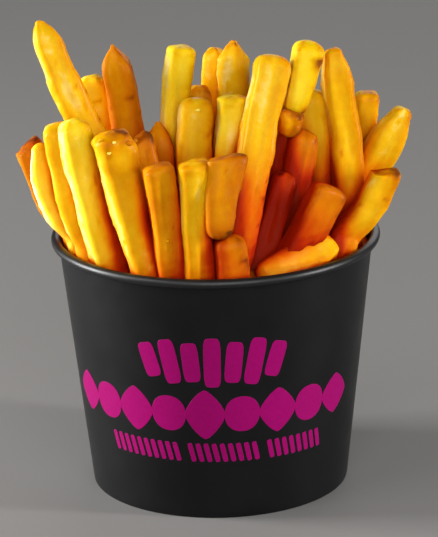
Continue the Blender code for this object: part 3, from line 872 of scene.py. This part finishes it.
def openness(rows):
    """How much of the surroundings a place sees past the fries, as a function of points. What a
    place doesn't see is painted as shade in its colour.

    Points along every fry are counted in 2 mm cells and blurred by a Gaussian 2.6 mm wide
    through its Fourier transform, which gives about 1 inside a fry and 0 between them. From
    each point, rays then leave over the half sphere it faces, and what they let through is
    e to the minus the filling summed along them.
    """
    cell, low, blur_width = 2.0, np.array([-74.0, -66.0, 50.0]), 2.6
    shape = np.array([74, 66, 54])
    shares = np.linspace(-0.3, 1.0, 120)
    lines = np.concatenate([fry_middle(row[0], row[1], row[5], shares) for row in rows])
    weight = np.repeat([math.dist(row[0], row[1]) * (shares[1] - shares[0]) for row in rows],
                       len(shares))
    spots = np.floor((lines - low) / cell).astype(int)
    inside = ((spots >= 0) & (spots < shape)).all(axis=1)
    filling = np.zeros(shape)
    np.add.at(filling, tuple(spots[inside].T), weight[inside])
    waves = np.meshgrid(*[np.fft.fftfreq(n) for n in shape], indexing="ij")
    blur = np.exp(-2.0 * (math.pi * blur_width / cell) ** 2 * sum(w * w for w in waves))
    filling = np.real(np.fft.ifftn(np.fft.fftn(filling) * blur))
    filling = np.clip(filling * 2.0 * math.pi * blur_width ** 2 / cell ** 3, 0.0, 1.0)
    x, y, z = np.meshgrid(*[low[k] + cell * (np.arange(shape[k]) + 0.5) for k in range(3)],
                          indexing="ij")
    filling[(np.hypot(x, y) > WALL_TOP_RADIUS - 1.0) & (z < RIM_HEIGHT - 1.0)] = 1.0

    count = 44
    rise = 1.0 - 2.0 * (np.arange(count) + 0.5) / count
    turn = np.arange(count) * math.pi * (3.0 - math.sqrt(5.0))
    flat = np.sqrt(1.0 - rise * rise)
    rays = polar(flat, turn, rise)[rise > LOWEST_RAY]
    steps = np.array([1.5, 4.0, 7.0, 10.5, 15.0, 21.0, 28.0])
    paces = np.gradient(steps)

    def at(points, facing):
        start = points + RAY_START * facing
        seen, total = np.zeros(len(points)), np.zeros(len(points))
        for ray in rays:
            places = start[:, None, :] + steps[None, :, None] * ray
            index = np.clip(((places - low) / cell).astype(int), 0, shape - 1)
            along = (filling[index[..., 0], index[..., 1], index[..., 2]] * paces).sum(axis=1)
            share = np.clip(facing @ ray + RAY_WRAP, 0.0, None)
            seen += share * np.exp(-RAY_LOSS * along)
            total += share
        return seen / np.maximum(total, 1e-6)
    return at


def painted_depth_shade(points, sight, kind):
    """How much painted shade each point gets, up to DEEPEST: 1 less what it sees, halved high
    up, plus painted shade low in the heap and in the middle's recess.
    """
    low = blend((LOW_SHADE_TOP - points[:, 2]) / LOW_SHADE_DEPTH)
    high = blend((points[:, 2] - HIGH_FROM) / HIGH_FADE)
    away = np.linalg.norm((points - SHADED_RECESS_PLACE) / SHADED_RECESS_REACH, axis=1)
    deep = (1.0 - sight) * (1.0 - HIGH_RELIEF * high)
    # Painted shade: more low in the heap, by kind, and in the recess in the middle.
    deep = deep + LOW_SHADE[kind] * low + SHADED_RECESS_DEPTH * blend(SHADED_RECESS_EDGE - away)
    return np.clip(deep, 0.0, DEEPEST)


def set_stops(node, tones):
    """Give a colour ramp its stops, as pairs of position and hex colour."""
    stops = node.color_ramp.elements
    while len(stops) < len(tones):
        stops.new(0.5)
    for stop, (position, code) in zip(stops, tones):
        stop.position, stop.color = position, linear(code)


def potato_material(name, tones):
    """Deep-fried potato: a dry, blistered starch crust over moist flesh, wet with a film of
    oil. Light enters and leaves a few millimetres on, which gives the faces their glow, and
    the oil gives small soft highlights. The attribute "crust" holds how toasted a place is,
    with painted side light, and how much painted shade it gets for lying deep in the heap."""
    material, tree, output = new_material(name)
    crust = add_node(tree, "ShaderNodeAttribute", attribute_name="crust")
    parts = add_node(tree, "ShaderNodeSeparateColor", {"Color": crust.outputs["Color"]})
    speck = spread_node(tree, noise_node(tree, 420.0, 4.0, 0.6), 0.3, -0.05, 0.05)
    toast = add_node(tree, "ShaderNodeMath", {
        0: parts.outputs["Red"], 1: speck}, operation="ADD")
    ramp = add_node(tree, "ShaderNodeValToRGB", {"Fac": toast.outputs["Value"]})
    set_stops(ramp, tones)
    # Painted shade: the green of "crust" picks a darker, redder tint that multiplies the
    # crust's colour.
    tint = add_node(tree, "ShaderNodeValToRGB", {"Fac": parts.outputs["Green"]})
    set_stops(tint, PAINTED_SHADE_TINT)
    deep = add_node(tree, "ShaderNodeMix", {
        "Factor": 1.0, "A": ramp.outputs["Color"], "B": tint.outputs["Color"]},
        data_type="RGBA", blend_type="MULTIPLY")
    oil = spread_node(tree, noise_node(tree, 160.0, 2.0, 0.5), 0.35, 0.28, 0.50)
    dull = add_node(tree, "ShaderNodeMath", {
        0: parts.outputs["Green"], 1: DULLING, 2: oil}, operation="MULTIPLY_ADD")
    grain = noise_node(tree, 900.0, 3.0, 0.6)
    shade(tree, output, {
        "Base Color": deep.outputs["Result"], "Roughness": dull.outputs["Value"],
        "Normal": bump_node(tree, grain, 0.35, 0.00015), "IOR": 1.45,
        "Subsurface Weight": 0.35, "Subsurface Radius": (1.0, 0.42, 0.08),
        "Subsurface Scale": 0.0022, "Specular IOR Level": 0.11,
        "Specular Tint": linear("#FFE09A"), "Coat Weight": 0.03, "Coat Roughness": 0.2})
    return material


def core_surface():
    """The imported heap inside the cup: a plug turned about Z whose top rises to a low mound,
    with noise bumps as wide as a fry."""
    floor = BASE_HEIGHT + CORE_GAP
    edge = inner_radius(CORE_EDGE_HEIGHT) - CORE_GAP
    columns = 96
    angle = full_turn(columns)
    share = np.linspace(1.0, 0.0, 30)[:-1]
    side_height = np.linspace(floor, CORE_EDGE_HEIGHT - 1.5, 8)
    side_radius = inner_radius(side_height) - CORE_GAP
    top_radius = edge * share
    top_height = CORE_EDGE_HEIGHT - 1.5 + (CORE_MOUND - 1.0) * blend((1.0 - share) * 1.3)
    radius = np.concatenate([side_radius, top_radius])
    height = np.concatenate([side_height, top_height])
    points = polar(radius[:, None], angle, height[:, None])
    top = points[len(side_radius):]
    top[:, :, 2] += CORE_BUMP * noise(top, 6.0, 29)
    poles = np.array([(0.0, 0.0, floor), (0.0, 0.0, top[-1, :, 2].mean())])
    points = np.concatenate([points.reshape(-1, 3), poles])
    return points, closed_faces(len(radius), columns)


def crumb_place(surface, row, share, turn):
    """The point of a fry's surface at a share of its length that faces nearest to a turn in
    degrees, counted from the shown side to the right."""
    points, _faces, _toast, facing = surface
    low, tip = np.array(row[0]), np.array(row[1])
    along = (points - low) @ (tip - low) / ((tip - low) @ (tip - low))
    way = np.array([math.sin(math.radians(turn)), -math.cos(math.radians(turn)), 0.0])
    score = facing @ way - 12.0 * np.abs(along - share)
    return points[score.argmax()]


def crumb_surface(place, size, number):
    """A crumb of crust as a closed lump: a ball whose radius follows noise of its own size."""
    rows, columns = 9, 14
    rise = np.linspace(-math.pi / 2.0, math.pi / 2.0, rows + 2)[1:-1, None]
    turn = full_turn(columns)[None, :]
    ball = polar(np.cos(rise), turn, np.sin(rise)).reshape(-1, 3)
    ball = np.concatenate([ball, [[0.0, 0.0, -1.0], [0.0, 0.0, 1.0]]])
    lumpy = 1.0 + 0.45 * noise(ball * 1.3 + 7.0 * number, 1.0, 47)
    points = np.array(place) + ball * lumpy[:, None] * size * np.array([1.0, 0.8, 0.75])
    return points, closed_faces(rows, columns), ball


class FRIESCUP_OT_wall(Operator):
    """Build the paper wall with its rolled rim, lapped seam and folded foot"""
    bl_idname = "friescup.wall"
    bl_label = "Paper wall"

    def execute(self, context):
        cup = context.scene.fries_cup
        color = tuple(cup.paper_color)
        paper = paper_material(
            "Coated black paperboard", color, cup.fibre, roughness=0.42, specular=0.28)
        rolled = paper_material(
            "Rolled rim of coated paperboard", color, cup.fibre, roughness=0.42, specular=0.55)
        points, faces = wall_surface(cup.segments)
        on_rim = points[faces][:, :, 2].mean(axis=1) > RIM_HEIGHT - BEAD
        new_piece("paper_wall", points, [faces], [paper, rolled], "cup_wall",
                  parts=on_rim)
        return {"FINISHED"}


class FRIESCUP_OT_base(Operator):
    """Finish the base disc, which keeps its shape from the model"""
    bl_idname = "friescup.base"
    bl_label = "Base disc"

    def execute(self, context):
        cup = context.scene.fries_cup
        material = paper_material(
            "Coated black paperboard base", tuple(cup.paper_color), cup.fibre,
            roughness=0.62, specular=0.16)
        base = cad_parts["cup_base"]
        base.data.materials.clear()
        base.data.materials.append(material)
        return {"FINISHED"}


class FRIESCUP_OT_print(Operator):
    """Print the generic magenta design on the front of the wall"""
    bl_idname = "friescup.print"
    bl_label = "Print"

    def execute(self, context):
        cup = context.scene.fries_cup
        material = ink_material("Magenta offset ink", tuple(cup.ink_color), cup.fibre)
        points, faces = join_surfaces(print_motifs())
        new_piece("wall_print", points, faces, [material])
        return {"FINISHED"}


class FRIESCUP_OT_core(Operator):
    """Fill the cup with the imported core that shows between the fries"""
    bl_idname = "friescup.core"
    bl_label = "Core of the heap"

    def execute(self, context):
        material = potato_material("Fried potato in the core", POTATO_TONES["browned"])
        points, faces = core_surface()
        # Painted shade: the whole core takes a middling depth of painted shade, as it lies in
        # the heap's shadow.
        colors = np.tile([CORE_TOAST, CORE_SHADE_DEPTH, 0.0], (len(points), 1))
        new_piece("fries_core", points, faces, [material], "fries", colors)
        return {"FINISHED"}


class FRIESCUP_OT_fries(Operator):
    """Build every fry at its place in the heap, one piece for each kind"""
    bl_idname = "friescup.fries"
    bl_label = "Fries"

    def execute(self, context):
        settings = context.scene.fries_crust
        crust = {name: getattr(settings, name) / MM
                 for name in ("blister", "wrinkle", "sink", "bulge")}
        rows, sizes = fry_rows()
        sight = openness(rows)
        built = [fry_surface(row, size, number, crust, number < len(SHOWN))
                 for number, (row, size) in enumerate(zip(rows, sizes))]
        pieces = {kind: [] for kind in KINDS}
        for row, surface in zip(rows, built):
            pieces[row[7]].append(surface)
        for number, (fry, share, turn, size, kind) in enumerate(CRUMBS):
            spot = crumb_place(built[fry], rows[fry], share, turn)
            points, faces, way = crumb_surface(spot, size, number)
            toast = np.full(len(points), CRUMB_TOAST[kind])
            pieces[kind].append((points, faces, toast, way))
        for kind, surfaces in pieces.items():
            points, faces = join_surfaces([surface[:2] for surface in surfaces])
            toast = np.concatenate([surface[2] for surface in surfaces])
            facing = np.concatenate([surface[3] for surface in surfaces])
            # Painted shade from how little each place sees, kept as the green and blue of the
            # colour attribute.
            deep = painted_depth_shade(points, sight(points, facing), kind)
            colors = np.stack([toast, deep, deep], axis=1)
            material = potato_material("Fried potato, " + kind, POTATO_TONES[kind])
            new_piece("fries_" + kind, points, faces, [material], "fries",
                      colors)
        return {"FINISHED"}


class FRIESCUP_OT_stage(Operator):
    """Set the grey floor, the soft studio lights and the camera"""
    bl_idname = "friescup.stage"
    bl_label = "Stage"

    def execute(self, context):
        stage = context.scene.fries_stage
        make_floor(stage)
        make_lights()
        make_world()
        make_camera(stage)
        context.scene.view_settings.view_transform = "Standard"
        return {"FINISHED"}


def make_floor(stage):
    """A large flat sheet of grey matt card under the cup."""
    half = 3.0
    mesh = bpy.data.meshes.new("floor")
    mesh.from_pydata(
        [(-half, -half, 0.0), (half, -half, 0.0), (half, half, 0.0), (-half, half, 0.0)],
        [], [(0, 1, 2, 3)])
    material, tree, output = new_material("Grey matt card")
    shade(tree, output, {"Base Color": tuple(stage.floor_color), "Roughness": 0.8})
    mesh.materials.append(material)
    add_object("floor", mesh)


def make_lights():
    """Soft boxes that face the cup: a large fill from the front, a weak key from the upper
    left, a broad and a narrow strip at the sides for the paper's sheen, and a fill behind."""
    middle = Vector((0.0, 0.0, 0.08))
    for name, place, size, power in (
            ("key", (-0.68, -0.46, 0.66), (0.5, 0.5), 3.0),
            ("fill", (0.12, -1.05, 0.50), (1.0, 0.8), 9.2),
            ("left strip", (-0.85, 0.06, 0.25), (0.3, 0.44), 16.0),
            ("right strip", (0.84, -0.24, 0.25), (0.08, 0.44), 8.0),
            ("back fill", (0.35, 1.10, 0.60), (1.0, 0.8), 3.6)):
        lamp = bpy.data.lights.new(name, "AREA")
        lamp.shape = "RECTANGLE"
        lamp.size, lamp.size_y = size
        lamp.energy = power
        item = add_object(name, lamp)
        item.location = place
        item.rotation_euler = (middle - Vector(place)).to_track_quat("-Z", "Y").to_euler()


def make_world():
    """An even, dim studio grey."""
    world = bpy.data.worlds.new("studio")
    world.use_nodes = True
    background = world.node_tree.nodes["Background"]
    background.inputs["Color"].default_value = linear("#F2EFEA")
    background.inputs["Strength"].default_value = 0.12
    bpy.context.scene.world = world


def make_camera(stage):
    """A long lens that looks down at the cup, turned a little about its line of sight."""
    aim = Vector((0.0008, 0.0, 0.0648))
    back = Vector((0.0, -math.cos(stage.elevation), math.sin(stage.elevation)))
    lens = bpy.data.cameras.new("camera")
    lens.sensor_width = 36.0
    lens.lens = stage.lens
    camera = add_object("camera", lens)
    camera.location = aim + back * stage.distance
    look = (-back).to_track_quat("-Z", "Y").to_matrix() @ Matrix.Rotation(stage.roll, 3, "Z")
    camera.rotation_euler = look.to_euler()
    bpy.context.scene.camera = camera


class FRIESCUP_PT_panel(Panel):
    """Lists the settings and the steps that build the cup of fries"""
    bl_idname = "FRIESCUP_PT_panel"
    bl_label = "Fries in a cup"
    bl_space_type = "VIEW_3D"
    bl_region_type = "UI"
    bl_category = "Fries"

    def draw(self, context):
        scene = context.scene
        for group in (scene.fries_cup, scene.fries_crust, scene.fries_stage):
            box = self.layout.box()
            for name in group.bl_rna.properties.keys():
                if name not in ("rna_type", "name"):
                    box.prop(group, name)
        for step in STEPS:
            self.layout.operator(step.bl_idname)


STEPS = (
    FRIESCUP_OT_stage, FRIESCUP_OT_wall, FRIESCUP_OT_base, FRIESCUP_OT_print,
    FRIESCUP_OT_core, FRIESCUP_OT_fries)
CLASSES = (CupSettings, FrySettings, StageSettings, *STEPS, FRIESCUP_PT_panel)


def register():
    """Register the classes and put the settings on the scene."""
    for item in CLASSES:
        bpy.utils.register_class(item)
    bpy.types.Scene.fries_cup = PointerProperty(type=CupSettings)
    bpy.types.Scene.fries_crust = PointerProperty(type=FrySettings)
    bpy.types.Scene.fries_stage = PointerProperty(type=StageSettings)


def unregister():
    """Take the settings off the scene and unregister the classes."""
    del bpy.types.Scene.fries_cup, bpy.types.Scene.fries_crust, bpy.types.Scene.fries_stage
    for item in reversed(CLASSES):
        bpy.utils.unregister_class(item)


def main():
    """Build every piece in order."""
    register()
    for step in STEPS:
        group, name = step.bl_idname.split(".")
        getattr(getattr(bpy.ops, group), name)()


if __name__ == "__main__":
    main()
